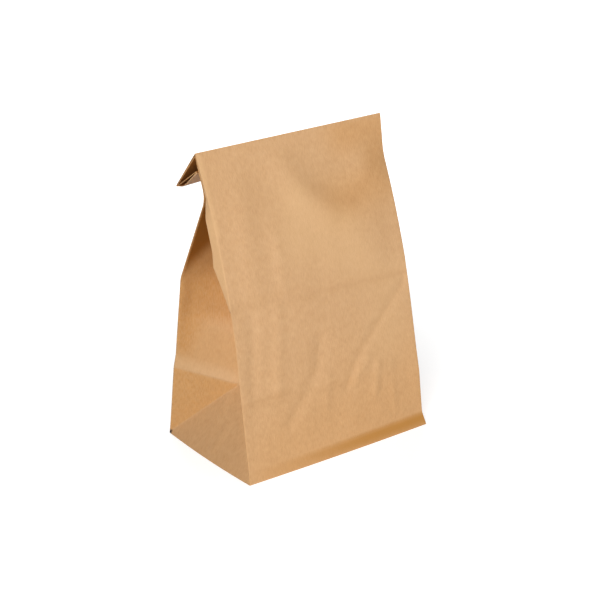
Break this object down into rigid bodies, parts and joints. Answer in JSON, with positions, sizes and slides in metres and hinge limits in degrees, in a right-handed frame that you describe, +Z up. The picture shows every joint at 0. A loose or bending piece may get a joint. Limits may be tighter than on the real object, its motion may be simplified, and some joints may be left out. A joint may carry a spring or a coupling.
{
  "type": "paper lunch bag",
  "caption": "Square-bottomed brown paper bag with pleated sides, standing, its top folded over twice to the back to close it.",
  "frame": {"origin": "middle of the base's underside", "axes": "+Z up, +X across the front panel to the right as seen from the front, +Y from the front panel to the back panel"},
  "size_m": [0.18, 0.115, 0.2535],
  "materials": {
    "kraft_paper": "matt brown kraft paper, unprinted"
  },
  "bodies": {
    "root": {"paper_bag": "kraft_paper"}
  },
  "joints": []
}
